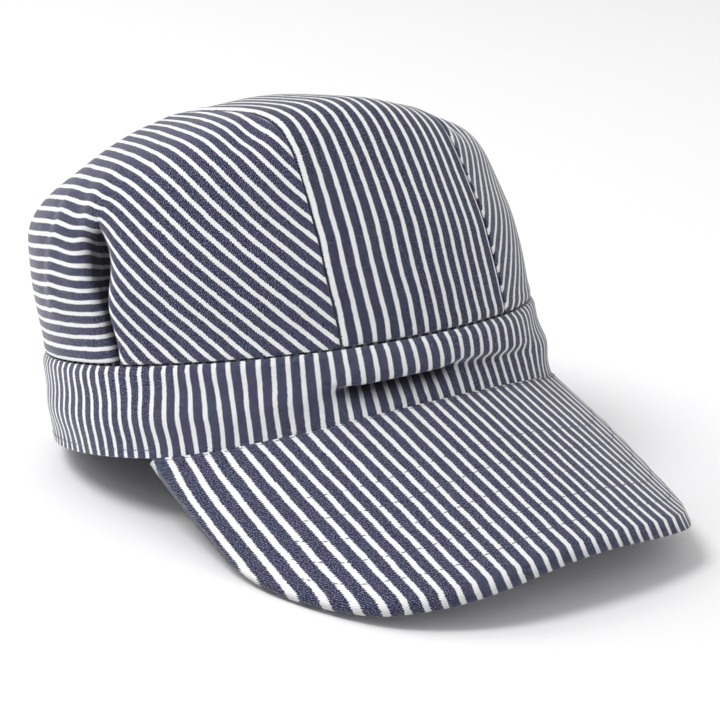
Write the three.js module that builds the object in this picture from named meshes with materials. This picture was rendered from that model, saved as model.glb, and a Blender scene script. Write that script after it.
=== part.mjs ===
// Railroad engineer cap, in millimetres. The cap faces -Y, with +X on the wearer's left.
// It is worked out upright on its headband first. Then it leans back on the floor, on
// the hem at the back and on the two front corners of the visor.
import * as THREE from 'three';
import { mergeVertices } from 'three/addons/utils/BufferGeometryUtils.js';

const rad = THREE.MathUtils.degToRad;
const clamp = THREE.MathUtils.clamp;
const lerp = THREE.MathUtils.lerp;
const ease = THREE.MathUtils.smoothstep;

// Headband
const bandRadius = 92.5; // outside, at the top edge
const bandHeight = 32.6;
const bandWall = 2.4;
const bandSpread = 1.0; // flare of the lower edge over the ends of the visor
const farSpread = 3.0; // more of that flare on the wearer's left

// Buckle across the front of the band, over the visor
const buckleDepth = 5.0;
const buckleHalfAngle = 17;
const buckleCentre = 4;
const buckleFade = 14;
const creaseDepth = 1.4; // soft bulge of the band all round

// Visor
const visorLength = 89.6; // from the band to the front edge, at the middle
const visorFlatHalf = 99.2; // half its width, measured over the arch
const visorThickness = 4.4;
const visorDroop = 28.7; // below the plane of the headband
const visorAttachAngle = 72; // from the front to where its sides leave the band
const visorSideStart = 6.5; // how far behind the middle seam the rounded outline starts
const visorFlare = 0.02; // widening towards the front
const visorSkew = 3.5; // sideways drift of the front edge towards the wearer's right
const visorTuck = 0.45; // curling in of the front corner on the wearer's left
const visorTuckStart = 40; // distance from the middle where that corner starts
const visorLift = 2.5; // and how far it curls up
const visorRim = 1.4; // roundness of the edge
const seamRise = 9.4; // height of the visor seam over the hem, at the middle

// Crown
const crownHeight = 86.6; // over the band
const crownWall = 1.8;
const stripHalfWidth = 37;
const crownLean = 2.6; // of the whole crown towards the wearer's right
const crownSlouch = 8.5; // sinking of the top on the wearer's left
const farRounding = 0.1; // narrowing of its upper half on the wearer's left

// Pleat of each side panel, behind the end of the visor
const pleatAngle = 75.7; // from the front
const pleatProud = 1.6;
const pleatDepth = 3.6;
const pleatOverhang = 1.7; // degrees by which the front layer covers the gap
const pleatHalfSlot = 0.35; // degrees between the fold and the bottom of the gap, halved
const pleatReachForward = 12;
const pleatReachBack = 15;
const pleatLean = 6.5;
const pleatStartRow = 0.9; // rows of the crown's table between which it opens and closes
const pleatFullRow = 2.6;
const pleatEndRow = 4.6;

const seamGap = 0.3;
const restFlat = 1.0; // how far the cloth gives way where it rests

// Profiles of the crown at its front, side and back, from the band to the top. Reaches are
// shares of the band's radius, rises are shares of the crown's height, and squareness
// is that of the front half of the section. Shift moves the middle forward.
const crownRows = [
  { front: 0.985, frontRise: 0.0, side: 0.985, sideRise: 0.0, back: 0.985, backRise: 0.0, square: 2.0, shift: 0.0 },
  { front: 0.982, frontRise: 0.2, side: 0.99, sideRise: 0.2, back: 0.99, backRise: 0.19, square: 2.0, shift: 0.0 },
  { front: 0.955, frontRise: 0.4, side: 0.99, sideRise: 0.4, back: 0.985, backRise: 0.36, square: 2.05, shift: 0.0 },
  { front: 0.894, frontRise: 0.6, side: 0.975, sideRise: 0.565, back: 0.955, backRise: 0.5, square: 2.15, shift: 0.0 },
  { front: 0.825, frontRise: 0.77, side: 0.91, sideRise: 0.71, back: 0.8, backRise: 0.61, square: 2.5, shift: 0.0 },
  { front: 0.765, frontRise: 0.87, side: 0.8, sideRise: 0.82, back: 0.6, backRise: 0.705, square: 2.8, shift: -0.02 },
  { front: 0.7, frontRise: 0.935, side: 0.67, sideRise: 0.893, back: 0.43, backRise: 0.785, square: 2.6, shift: -0.05 },
  { front: 0.59, frontRise: 0.972, side: 0.52, sideRise: 0.943, back: 0.29, backRise: 0.86, square: 2.4, shift: -0.09 },
  { front: 0.36, frontRise: 0.992, side: 0.3, sideRise: 0.98, back: 0.15, backRise: 0.93, square: 2.1, shift: -0.15 },
  { front: 0.0, frontRise: 1.0, side: 0.0, sideRise: 1.0, back: 0.0, backRise: 1.0, square: 2.0, shift: -0.22 },
];
const topRow = crownRows.length - 1;

// Section of the band from its lower edge up. Out and lift are shares of the buckle's
// depth, and crease is a share of the soft bulge.
const bandRows = [
  { share: 0.0, out: 0.0, lift: 0.0, crease: 0.0 },
  { share: 0.1, out: 0.0, lift: 0.0, crease: 0.0 },
  { share: 0.25, out: -0.5, lift: 0.0, crease: 0.5 },
  { share: 0.39, out: -0.95, lift: 0.08, crease: 1.0 },
  { share: 0.47, out: 0.42, lift: 0.0, crease: 1.0 },
  { share: 0.6, out: 0.52, lift: 0.0, crease: 0.6 },
  { share: 0.8, out: 0.25, lift: 0.0, crease: 0.2 },
  { share: 1.0, out: 0.0, lift: 0.0, crease: 0.0 },
];

// A closed body between an outer grid and an inner grid of points. Rows go round the
// body, and seen from outside the columns run to the right as the rows run up.
function closedSheet(outer, inner, { loop = false, rim = null } = {}) {
  const rows = outer.length;
  const columns = outer[0].length;
  const positions = [];
  const index = [];
  const place = (grid) => grid.map((row) => row.map((point) => {
    positions.push(point.x, point.y, point.z);
    return positions.length / 3 - 1;
  }));
  const front = place(outer);
  const back = place(inner);
  const quad = (a, b, c, d) => index.push(a, b, c, a, c, d);
  const last = loop ? columns : columns - 1;
  for (let i = 0; i < rows - 1; i++) {
    for (let j = 0; j < last; j++) {
      const k = (j + 1) % columns;
      quad(front[i][j], front[i][k], front[i + 1][k], front[i + 1][j]);
      quad(back[i][j], back[i + 1][j], back[i + 1][k], back[i][k]);
    }
  }
  const border = [];
  for (let j = 0; j < last; j++) border.push([0, j, 0, (j + 1) % columns]);
  if (!loop) for (let i = 0; i < rows - 1; i++) border.push([i, columns - 1, i + 1, columns - 1]);
  for (let j = last; j > 0; j--) border.push([rows - 1, j % columns, rows - 1, j - 1]);
  if (!loop) for (let i = rows - 1; i > 0; i--) border.push([i, 0, i - 1, 0]);
  const middle = new Map();
  const middleOf = (i, j) => {
    const key = i * columns + j;
    if (!middle.has(key)) {
      const point = rim(i, j);
      positions.push(point.x, point.y, point.z);
      middle.set(key, positions.length / 3 - 1);
    }
    return middle.get(key);
  };
  for (const [i, j, k, l] of border) {
    if (rim) {
      quad(front[i][j], middleOf(i, j), middleOf(k, l), front[k][l]);
      quad(middleOf(i, j), back[i][j], back[k][l], middleOf(k, l));
    } else {
      quad(front[i][j], back[i][j], back[k][l], front[k][l]);
    }
  }
  const geometry = new THREE.BufferGeometry();
  geometry.setAttribute('position', new THREE.Float32BufferAttribute(positions, 3));
  geometry.setIndex(index);
  return withoutSlivers(mergeVertices(geometry, 1e-3));
}

// Where a whole column of a grid is one point, its triangles that have no area are left out
function withoutSlivers(geometry) {
  const index = geometry.getIndex().array;
  const kept = [];
  for (let i = 0; i < index.length; i += 3) {
    const [a, b, c] = [index[i], index[i + 1], index[i + 2]];
    if (a !== b && b !== c && c !== a) kept.push(a, b, c);
  }
  geometry.setIndex(kept);
  return geometry;
}

// Plan angles are measured from the front, positive towards the wearer's right
const onCircle = (radius, angle, z) =>
  new THREE.Vector3(-radius * Math.sin(angle), -radius * Math.cos(angle), z);

const seamHeight = (angle) =>
  seamRise * Math.max(0, Math.cos((angle / rad(visorAttachAngle)) * (Math.PI / 2))) ** 1.6
  * (Math.abs(angle) < rad(visorAttachAngle) ? 1 : 0);

// Radius of the band's lower edge, where the visor is sewn on
function seamRadius(angle) {
  const turn = Math.abs(angle);
  const bulge = ease(turn, rad(12), rad(50)) * (1 - ease(turn, rad(66), rad(100)));
  return bandRadius + bulge * (bandSpread + (angle < 0 ? farSpread : 0));
}

// Section of the band at a plan angle, as points (radius, height) from the hem up
function bandSection(angle) {
  const seam = seamHeight(angle);
  const hem = seam - visorThickness * Math.min(1, seam / seamRise * 2);
  const turn = Math.abs(THREE.MathUtils.radToDeg(angle) - buckleCentre);
  const buckle = buckleDepth * (1 - ease(turn, buckleHalfAngle, buckleHalfAngle + buckleFade));
  const soft = creaseDepth * ease(turn, buckleHalfAngle, 2 * buckleHalfAngle);
  return bandRows.map((row) => {
    const z = lerp(hem, bandHeight, row.share);
    const flare = (seamRadius(angle) - bandRadius) * (1 - clamp((z - seam) / (bandHeight - seam), 0, 1)) ** 1.5;
    return new THREE.Vector2(
      bandRadius + flare + buckle * row.out + soft * row.crease,
      z + buckle * row.lift,
    );
  });
}

// The same section moved inwards by the thickness of the wall
function insetSection(section, wall) {
  return section.map((point, i) => {
    const before = section[Math.max(0, i - 1)];
    const after = section[Math.min(section.length - 1, i + 1)];
    const first = point.clone().sub(before).normalize();
    const second = after.clone().sub(point).normalize();
    const normals = [first, second].filter((d) => d.length() > 0).map((d) => new THREE.Vector2(-d.y, d.x));
    const sum = normals.reduce((a, b) => a.clone().add(b)).normalize();
    const reach = wall / Math.max(0.6, sum.dot(normals[0]));
    const level = i === 0 || i === section.length - 1;
    return level
      ? new THREE.Vector2(point.x - wall, point.y)
      : point.clone().addScaledVector(sum, reach);
  });
}

function bandGeometry() {
  const steps = 84;
  const angles = Array.from({ length: steps }, (_, j) => Math.PI - (j / steps) * 2 * Math.PI);
  const sections = angles.map((angle) => bandSection(angle));
  const grid = (list) => bandRows.map((_, i) => list.map((section, j) =>
    onCircle(section[i].x, angles[j], section[i].y)));
  return closedSheet(grid(sections), grid(sections.map((s) => insetSection(s, bandWall))), { loop: true });
}

// Value of a column of the crown's table at a row between its rows
function crownValue(column, row) {
  const i = clamp(Math.floor(row), 0, topRow - 1);
  const at = (k) => crownRows[clamp(k, 0, topRow)][column];
  const f = row - i;
  const [a, b, c, d] = [at(i - 1), at(i), at(i + 1), at(i + 2)];
  return b + 0.5 * ((c - a) * f + (2 * a - 5 * b + 4 * c - d) * f ** 2 + (3 * b - a - 3 * c + d) * f ** 3);
}

// Point of the crown's outer surface at a plan angle and a row of the table
function crownPoint(angle, row) {
  const cos = Math.cos(angle);
  const sin = Math.sin(angle);
  const ahead = cos > 0;
  const power = ahead ? 2 / crownValue('square', row) : 1;
  const shift = crownValue('shift', row);
  const reach = ahead ? crownValue('front', row) + shift : crownValue('back', row) - shift;
  const share = lerp(
    crownValue('sideRise', row),
    crownValue(ahead ? 'frontRise' : 'backRise', row),
    cos * cos,
  );
  let x = -Math.sign(sin) * crownValue('side', row) * Math.abs(sin) ** power;
  x *= 1 - farRounding * ease(share, 0.2, 0.9) * ease(x, 0, 0.5);
  x = x * bandRadius - crownLean * ease(share, 0, 0.35);
  const y = (shift - Math.sign(cos) * reach * Math.abs(cos) ** power) * bandRadius;
  const sink = crownSlouch * ease(x, -10, 60) * Math.max(0, share) ** 2.2;
  return new THREE.Vector3(x, y, bandHeight + seamGap + crownHeight * share - sink);
}

// Outward normal of the crown's surface
function crownNormal(angle, row) {
  const step = 0.004;
  const low = clamp(row, step, topRow - 3 * step);
  const across = crownPoint(angle + step, low).sub(crownPoint(angle - step, low));
  const up = crownPoint(angle, low + step).sub(crownPoint(angle, low - step));
  return up.cross(across).normalize();
}

// Highest row where the crown is still as wide as a given half width
function rowOfWidth(half) {
  let low = 2;
  let high = topRow;
  for (let i = 0; i < 40; i++) {
    const row = (low + high) / 2;
    if (crownValue('side', row) * bandRadius > half) low = row;
    else high = row;
  }
  return low;
}

// The line along the crown that keeps one distance from its middle, from the front of the
// band over the top to the back. Stations are shares of its length, and it is given as
// pairs of plan angle and row.
function crownLine(half, stations) {
  const fine = 160;
  const top = half > 0 ? rowOfWidth(half) : topRow;
  const pairs = [];
  for (let i = 0; i <= 2 * fine; i++) {
    const near = Math.min(i, 2 * fine - i) / fine;
    const row = top * (1 - (1 - near) ** 2);
    const square = i < fine ? crownValue('square', row) : 2;
    const ratio = Math.min(1, half / (crownValue('side', row) * bandRadius));
    const turn = half > 0 ? Math.asin(ratio ** (square / 2)) : 0;
    pairs.push([i <= fine ? turn : Math.PI - turn, row]);
  }
  const lengths = [0];
  for (let i = 1; i < pairs.length; i++) {
    lengths.push(lengths[i - 1] + crownPoint(...pairs[i]).distanceTo(crownPoint(...pairs[i - 1])));
  }
  return stations.map((share) => {
    const target = share * lengths.at(-1);
    const i = clamp(lengths.findIndex((value) => value >= target), 1, pairs.length - 1);
    const f = (target - lengths[i - 1]) / (lengths[i] - lengths[i - 1]);
    return [lerp(pairs[i - 1][0], pairs[i][0], f), lerp(pairs[i - 1][1], pairs[i][1], f)];
  });
}

// Columns of a side panel, by their plan angle on the band in degrees. Two of them are the
// fold of the pleat and the bottom of its gap, and they lean over each other.
function panelColumns() {
  const before = 13;
  const after = 11;
  const start = THREE.MathUtils.radToDeg(Math.asin((stripHalfWidth / bandRadius) / crownRows[0].side));
  const end = 180 - start;
  const firstStop = pleatAngle - pleatReachForward;
  const lastStop = pleatAngle + pleatReachBack;
  const columns = [];
  for (let j = 0; j < before; j++) columns.push({ angle: lerp(start, firstStop, j / before) });
  for (const share of [-1, -0.6, -0.25]) columns.push({ angle: pleatAngle + share * pleatReachForward });
  columns.push({ angle: pleatAngle - pleatHalfSlot, shift: 0.7 });
  columns.push({ angle: pleatAngle + pleatHalfSlot, shift: -0.3 });
  for (const share of [0.2, 0.5, 1]) columns.push({ angle: pleatAngle + share * pleatReachBack });
  for (let j = 1; j <= after; j++) columns.push({ angle: lerp(lastStop, end, j / after) });
  return columns.map((column) => ({ ...column, along: (column.angle - start) / (end - start) }));
}

function stripGeometry() {
  const columns = 7;
  const stations = panelColumns().map((column) => column.along);
  const half = stripHalfWidth - seamGap / 2;
  const lines = Array.from({ length: columns }, (_, j) => {
    const share = 1 - (2 * j) / (columns - 1);
    const side = share < 0 ? -1 : 1;
    return crownLine(Math.abs(share) * half, stations).map(([angle, row]) => [side * angle, row]);
  });
  const grid = (inset) => stations.map((_, i) => lines.map((line) =>
    crownPoint(...line[i]).addScaledVector(crownNormal(...line[i]), -inset)));
  return closedSheet(grid(0), grid(crownWall));
}

// A side panel, from the strip's seam down to the band. Side is 1 on the wearer's right.
function panelGeometry(side) {
  const rows = 13;
  const columns = panelColumns();
  const seam = crownLine(stripHalfWidth + seamGap / 2, columns.map((column) => column.along));
  const outer = Array.from({ length: rows }, () => []);
  const inner = Array.from({ length: rows }, () => []);
  columns.forEach((column, j) => {
    const [seamAngle, seamRow] = seam[j];
    const apart = column.angle - pleatAngle;
    const close = 1 - ease(Math.abs(apart), pleatHalfSlot, apart < 0 ? pleatReachForward : pleatReachBack);
    for (let i = 0; i < rows; i++) {
      const share = i / (rows - 1);
      const row = seamRow * share;
      const open = lerp(0.2, 1, ease(row, 0, pleatStartRow)) * (1 - ease(row, pleatFullRow, pleatEndRow));
      const lean = pleatLean * ease(row, pleatFullRow, pleatFullRow + 1) * (1 - ease(Math.abs(apart), 0, 25));
      const bottom = rad(column.angle + lean * (1 - share));
      const angle = lerp(bottom, seamAngle, ease(share, 0.35, 1));
      const overhang = rad((column.shift ?? 0) * pleatOverhang) * open;
      const push = (apart > 0 ? -pleatDepth : pleatProud) * close * open;
      const normal = crownNormal(side * angle, row);
      outer[i].push(crownPoint(side * (angle + overhang), row).addScaledVector(normal, push));
      inner[i].push(crownPoint(side * angle, row)
        .addScaledVector(normal, -crownWall - pleatDepth * close * open));
    }
  });
  if (side > 0) {
    for (const row of [...outer, ...inner]) row.reverse();
  }
  return closedSheet(outer, inner);
}

// The visor bends only across. These lines run straight out from its seam at a plan angle.
const forward = new THREE.Vector3(0, -Math.cos(rad(visorDroop)), -Math.sin(rad(visorDroop)));

function visorPoint(angle, reach) {
  const point = onCircle(seamRadius(angle) + seamGap, angle, seamHeight(angle));
  const share = clamp(reach / visorLength, 0, 1);
  point.addScaledVector(forward, reach);
  point.x = point.x * (1 + visorFlare * share) - visorSkew * share;
  if (point.x > visorTuckStart) {
    point.z += visorLift * share ** 4 * ease(point.x, visorTuckStart, bandRadius);
    point.x = visorTuckStart + (point.x - visorTuckStart) * (1 - visorTuck * share ** 6);
  }
  return point;
}

// Distances over the arch from its middle to the seam at a plan angle
function archLengths(steps) {
  const lengths = [0];
  const turn = (i) => (i / steps) * rad(visorAttachAngle);
  const flat = (angle) => new THREE.Vector2(
    bandRadius * Math.sin(angle),
    bandRadius * Math.cos(angle) * Math.sin(rad(visorDroop)) + seamHeight(angle) * Math.cos(rad(visorDroop)),
  );
  for (let i = 1; i <= steps; i++) lengths.push(lengths[i - 1] + flat(turn(i)).distanceTo(flat(turn(i - 1))));
  return lengths;
}

// Reach of the visor's outline along the straight line that starts at a plan angle
function outlineReach(angle, arch) {
  const seamBack = bandRadius * (1 - Math.cos(angle)) * Math.cos(rad(visorDroop))
    - (seamRise - seamHeight(angle)) * Math.sin(rad(visorDroop));
  const depth = visorLength + visorSideStart;
  let reach = visorLength / 2;
  for (let i = 0; i < 60; i++) {
    const across = clamp((arch * (1 + (visorFlare * reach) / visorLength)) / visorFlatHalf, 0, 1);
    const target = depth * (1 - across ** 2.5) ** (1 / 3) - visorSideStart + seamBack;
    reach = (reach + target) / 2;
  }
  return reach;
}

function visorGeometry() {
  const half = 20;
  const rows = 9;
  const fine = 400;
  const lengths = archLengths(fine);
  const columns = [];
  for (let j = -half; j <= half; j++) {
    const target = Math.sin((Math.abs(j) / half) * (Math.PI / 2) * 0.9) / Math.sin((Math.PI / 2) * 0.9);
    const found = lengths.findIndex((value) => value >= target * lengths.at(-1) - 1e-9);
    const angle = -Math.sign(j) * (found / fine) * rad(visorAttachAngle);
    columns.push({ angle, reach: outlineReach(angle, lengths[found]) });
  }
  const grid = (drop) => Array.from({ length: rows }, (_, i) => columns.map(({ angle, reach }) => {
    const point = visorPoint(angle, reach * (1 - i / (rows - 1)));
    point.z -= drop;
    return point;
  }));
  const outer = grid(0);
  const inner = grid(visorThickness);
  const edge = (i, j) => {
    const middle = outer[i][j].clone().add(inner[i][j]).multiplyScalar(0.5);
    const away = new THREE.Vector3();
    if (i === 0) away.add(forward);
    if (i > 0 && i < rows - 1 && (j === 0 || j === columns.length - 1)) away.x += Math.sign(middle.x);
    return middle.addScaledVector(away, visorRim);
  };
  return closedSheet(outer, inner, { rim: edge });
}

// Lean at which the back of the hem and the front of the visor touch the floor together
function restingLean(geometries) {
  const points = geometries.flatMap((geometry) => {
    const list = geometry.getAttribute('position');
    return Array.from({ length: list.count }, (_, i) => new THREE.Vector3().fromBufferAttribute(list, i));
  });
  const lowest = (lean, ahead) => Math.min(...points.filter((p) => p.y < 0 === ahead)
    .map((p) => p.z * Math.cos(lean) - p.y * Math.sin(lean)));
  let low = 0;
  let high = rad(40);
  for (let i = 0; i < 40; i++) {
    const lean = (low + high) / 2;
    if (lowest(lean, false) > lowest(lean, true)) low = lean;
    else high = lean;
  }
  return { lean: low, floor: lowest(low, true) + restFlat };
}

// Cloth below the floor is pressed up to it
function pressFlat(geometry, { lean, floor }) {
  const up = new THREE.Vector3(0, -Math.sin(lean), Math.cos(lean));
  const list = geometry.getAttribute('position');
  const point = new THREE.Vector3();
  for (let i = 0; i < list.count; i++) {
    point.fromBufferAttribute(list, i);
    const under = floor - point.dot(up);
    if (under > 0) {
      point.addScaledVector(up, under);
      list.setXYZ(i, point.x, point.y, point.z);
    }
  }
}

const denim = (color) => new THREE.MeshStandardMaterial({ color, roughness: 0.9, metalness: 0.0 });
const pieces = [
  { name: 'band', geometry: bandGeometry(), material: denim('#6d6f92') },
  { name: 'crown_strip', geometry: stripGeometry(), material: denim('#7d7fa0') },
  { name: 'side_panel_right', geometry: panelGeometry(1), material: denim('#74769a') },
  { name: 'side_panel_left', geometry: panelGeometry(-1), material: denim('#74769a') },
  { name: 'visor', geometry: visorGeometry(), material: denim('#666a90') },
];

const resting = restingLean(pieces.map((piece) => piece.geometry));
const leaning = new THREE.Group();
leaning.rotation.x = -resting.lean;
for (const { name, geometry, material } of pieces) {
  pressFlat(geometry, resting);
  const mesh = new THREE.Mesh(geometry, material);
  mesh.name = name;
  leaning.add(mesh);
}

// The origin is under the middle of the cap, on the floor
const cap = new THREE.Group();
cap.add(leaning);
const bounds = new THREE.Box3().setFromObject(cap, true);
const middle = bounds.getCenter(new THREE.Vector3());
leaning.position.set(-middle.x, -middle.y, -bounds.min.z);

export default cap;
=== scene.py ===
# Railroad engineer cap of striped denim. Sizes are in millimetres and angles in degrees.
# The cap is worked out upright on its headband, facing -Y, and then leans back to rest.
import math

import bmesh
import bpy
import numpy as np
from mathutils import Matrix, Vector


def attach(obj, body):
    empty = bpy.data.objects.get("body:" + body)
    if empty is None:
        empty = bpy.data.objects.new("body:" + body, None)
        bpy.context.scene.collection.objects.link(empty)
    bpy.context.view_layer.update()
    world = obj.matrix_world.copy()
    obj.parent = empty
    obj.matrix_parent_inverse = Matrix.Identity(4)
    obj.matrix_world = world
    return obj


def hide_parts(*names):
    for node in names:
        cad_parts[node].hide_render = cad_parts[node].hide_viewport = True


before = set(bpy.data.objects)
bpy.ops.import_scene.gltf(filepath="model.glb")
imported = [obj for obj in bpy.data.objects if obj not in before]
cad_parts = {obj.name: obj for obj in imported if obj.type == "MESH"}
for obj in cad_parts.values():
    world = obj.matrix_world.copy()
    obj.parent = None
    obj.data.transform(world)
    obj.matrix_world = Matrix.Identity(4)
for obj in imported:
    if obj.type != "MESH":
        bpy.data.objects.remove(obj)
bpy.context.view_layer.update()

MM = 0.001

# Columns and rows of the sheets that the pieces are made from
PANEL_FRONT_COLUMNS = 27
PANEL_BACK_COLUMNS = 35
PANEL_ROWS = 47
STRIP_COLUMNS = 33
STRIP_ROWS = 97
BAND_COLUMNS = 201
HEM_ROWS = 4
BAND_ROWS = 38
VISOR_COLUMNS = 89
VISOR_ROWS = 53

# Rest: the lean on the back of the hem, and where the middle of the headband then is
REST_LEAN = 12.06
REST_PLACE = (-0.06, 36.55, 18.33)

# Headband: its size, how far the visor spreads it on each side and lifts its edge in front
BAND_RADIUS = 92.5
BAND_HEIGHT = 32.6
BAND_WALL = 2.3
BAND_SPREAD = 1.0
FAR_SPREAD = 3.0
SEAM_RISE = 9.4
BAND_TURN = 1.0
BAND_TURN_RUN = 2.6

# The buckle of the band over the visor, in degrees from the front to the near side: its
# middle, where its depth starts to fade and where it is gone; and its weaker far part
BUCKLE_MIDDLE = 11.0
BUCKLE_FADE = (9.0, 21.0)
BUCKLE_FAR_MIDDLE = -4.0
BUCKLE_FAR_FADE = (20.0, 38.0)
BUCKLE_FAR_SHARE = 0.5

# Soft creases of the band away from the buckle, and weaker at the back: where they start
# and weaken, how far they stand out, and the length of their waves round the band
CREASE_MIDDLE = 6.0
CREASE_START = (17.0, 34.0)
CREASE_BACK = (90.0, 130.0)
CREASE_BACK_LOSS = 0.55
CREASE = 1.5
CREASE_WAVE = 0.25
CREASE_WAVE_RUN = 6.2
BAND_FULLNESS = 0.4
LIP = 0.8

# Where round the band its stripes close up to a whole number
JOINT_FADE = (100.0, 175.0)

# Visor: its plan, its lift and sweep at the sides, its corners and its rounded edge
VISOR_LENGTH = 88.4
VISOR_FLAT_HALF = 99.2
VISOR_THICKNESS = 3.6
VISOR_DROOP = 28.7
VISOR_ANGLE = 72.0
VISOR_SIDE_START = 6.5
VISOR_FLARE = 0.02
VISOR_SKEW = 3.5
VISOR_TUCK = 0.31
VISOR_TUCK_START = 38.4
VISOR_TUCK_POWER = 2.6
VISOR_LIFT = 4.7
VISOR_LIFT_START = 16.0
VISOR_LIFT_POWER = 7.5
VISOR_ROUND = 4.6
VISOR_NEAR_START = 69.6
VISOR_NEAR_CORNER = 0.127
VISOR_NEAR_CORNER_START = 0.65
VISOR_TURN = 3.6
VISOR_TURN_RUN = 24.0
VISOR_SWEEP = 3.4
VISOR_SWEEP_RUN = 13.0
VISOR_SIDES = (42.0, 72.0)
VISOR_FAR_CORNER = 0.295
VISOR_FAR_CORNER_STARTS = (0.41, 0.86)
VISOR_FULL_FRONT = 0.024
VISOR_FULL_PLACE = 0.39
VISOR_FULL_WIDTH = 0.22
VISOR_NEAR_THICKNESS = 0.55
VISOR_NEAR_THIN_RUN = 45.0
VISOR_EDGE_POWER = 2.4

# Crown: its size, its strip, its seams, and its lean and slouch to the far side
CROWN_HEIGHT = 86.6
CROWN_CLOTH = 1.0
STRIP_HALF = 37.0
CROWN_LEAN = 2.6
CROWN_SLOUCH = 8.5
FAR_ROUNDING = 0.1
SEAM_GAP = 0.3
SEAM_LAP = 0.25
SEAM_DRAW = 0.55
SEAM_DRAW_RUN = 0.8
SEAM_FULLNESS = 0.3
BAND_EDGE_FULLNESS = 0.55
STRIP_TOP = (-2.6, -8.0, 119.0)

# Profiles of the crown from the band to the top, as shares of radius and height
CROWN = {
    "front": (0.985, 0.982, 0.955, 0.894, 0.825, 0.765, 0.700, 0.590, 0.360, 0.000),
    "front_rise": (0.000, 0.200, 0.400, 0.600, 0.770, 0.870, 0.935, 0.972, 0.992, 1.000),
    "side": (0.985, 0.990, 0.990, 0.975, 0.910, 0.800, 0.670, 0.520, 0.300, 0.000),
    "side_rise": (0.000, 0.200, 0.400, 0.565, 0.710, 0.820, 0.893, 0.943, 0.980, 1.000),
    "back": (0.985, 0.990, 0.985, 0.955, 0.800, 0.600, 0.430, 0.290, 0.150, 0.000),
    "back_rise": (0.000, 0.190, 0.360, 0.500, 0.610, 0.705, 0.785, 0.860, 0.930, 1.000),
    "square": (2.0, 2.0, 2.05, 2.15, 2.5, 2.8, 2.6, 2.4, 2.1, 2.0),
    "shift": (0.0, 0.0, 0.0, 0.0, 0.0, -0.02, -0.05, -0.09, -0.15, -0.22),
}
TOP_ROW = 9.0

# Places where the crown stands in or out from those profiles: where, how far, over what reach
CROWN_EASES = (
    ((-72.0, 20.0, 101.0), (2.2, -1.9, -1.75), 28.0),
    ((-6.0, -6.0, 118.0), (0.0, 0.0, 1.9), 24.0),
    ((56.0, -54.0, 93.0), (-1.55, 0.85, -1.15), 28.0),
    ((20.0, -54.0, 112.0), (-0.8, 0.3, -1.35), 26.0),
)

# Stripes: their pitch, the width of the white ones, where each piece's stripes start, and
# on the side panels their slope before the pleat, their extra slope at its fold, and by
# what share they close up behind it and before it
PITCH = 5.03
WHITE = 1.7
BAND_PHASE = 0.45 * PITCH
VISOR_PHASE = -1.8
PANEL_SLOPE = 45.0
FOLD_SLOPE = 18.0
FOLD_CLOSING = 0.33
FOLD_CLOSING_END = (108.0, 140.0)
FRONT_CLOSING = 0.115

# Behind the pleat the stripes slope a little, and more near its opening. Over the top they
# run straight back. Across the pleat's slot the cloth is all but free of its neighbour.
BACK_SLOPE = -2.0
OPENING_SLOPE = 9.0
OPENING_SLOPE_END = (93.0, 104.0)
TOP_SLOPE_ANGLE = 86.0
TOP_SLOPE_ROWS = (2.6, 5.2)
SLOT = (-0.2, 0.7)
SLOT_FREE_LOW = 0.9996
SLOT_FREE_HIGH = 0.9

# Pleat of each side panel: its place and its folds, from the front layer round to the back
# one. Swing is in degrees and push in millimetres: low on the panel, where the fold is
# sharp and its slot narrow, and high, where it opens to a soft hollow.
PLEAT_ANGLE = 75.7
PLEAT_LEAN = 6.5
PLEAT_LEAN_ROWS = (2.3, 3.7)
PLEAT_LEAN_REACH = 25.0
PLEAT_AT_BAND = 0.6
PLEAT_FULL_ROW = 0.9
PLEAT_OPENING_ROWS = (1.0, 2.1)
PLEAT_END_ROWS = (2.3, 3.4)
PLEAT_COLUMNS = (
    # place, low swing, low push, high swing, high push
    (-12.0, 0.0, 0.3, 0.0, 0.1),
    (-10.0, 0.0, 0.5, 0.0, 0.3),
    (-8.0, 0.0, 0.8, 0.0, 0.6),
    (-6.4, 0.0, 1.0, 0.0, 0.8),
    (-5.0, 0.0, 1.3, 0.0, 0.7),
    (-3.8, 0.0, 1.5, 0.0, 0.2),
    (-2.7, 0.0, 1.7, 0.0, -0.6),
    (-1.8, 0.0, 1.7, 0.0, -1.6),
    (-1.1, 0.0, 1.5, 0.0, -2.6),
    (-0.6, 0.1, 1.1, 0.0, -3.6),
    (-0.3, 0.2, 0.2, 0.0, -4.5),
    (-0.1, 0.2, -1.2, 0.0, -5.4),
    (0.05, 0.0, -3.0, 0.1, -6.2),
    (0.2, -0.4, -5.6, 0.3, -7.0),
    (0.35, -0.6, -8.4, 0.6, -7.5),
    (0.5, -0.1, -10.0, 1.1, -7.7),
    (0.65, 0.8, -9.8, 1.7, -7.2),
    (0.8, 1.3, -7.6, 2.1, -6.2),
    (1.0, 1.5, -5.6, 2.3, -5.2),
    (1.25, 1.5, -4.8, 2.4, -4.9),
    (1.7, 1.3, -4.0, 2.4, -4.6),
    (2.5, 0.9, -2.9, 2.0, -4.2),
    (4.0, 0.4, -1.5, 1.2, -3.3),
    (6.5, 0.0, -0.4, 0.3, -1.6),
    (9.0, 0.0, 0.0, 0.0, 0.2),
    (11.5, 0.0, 0.0, 0.0, 0.5),
    (14.0, 0.0, 0.0, 0.0, 0.0),
)

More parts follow.
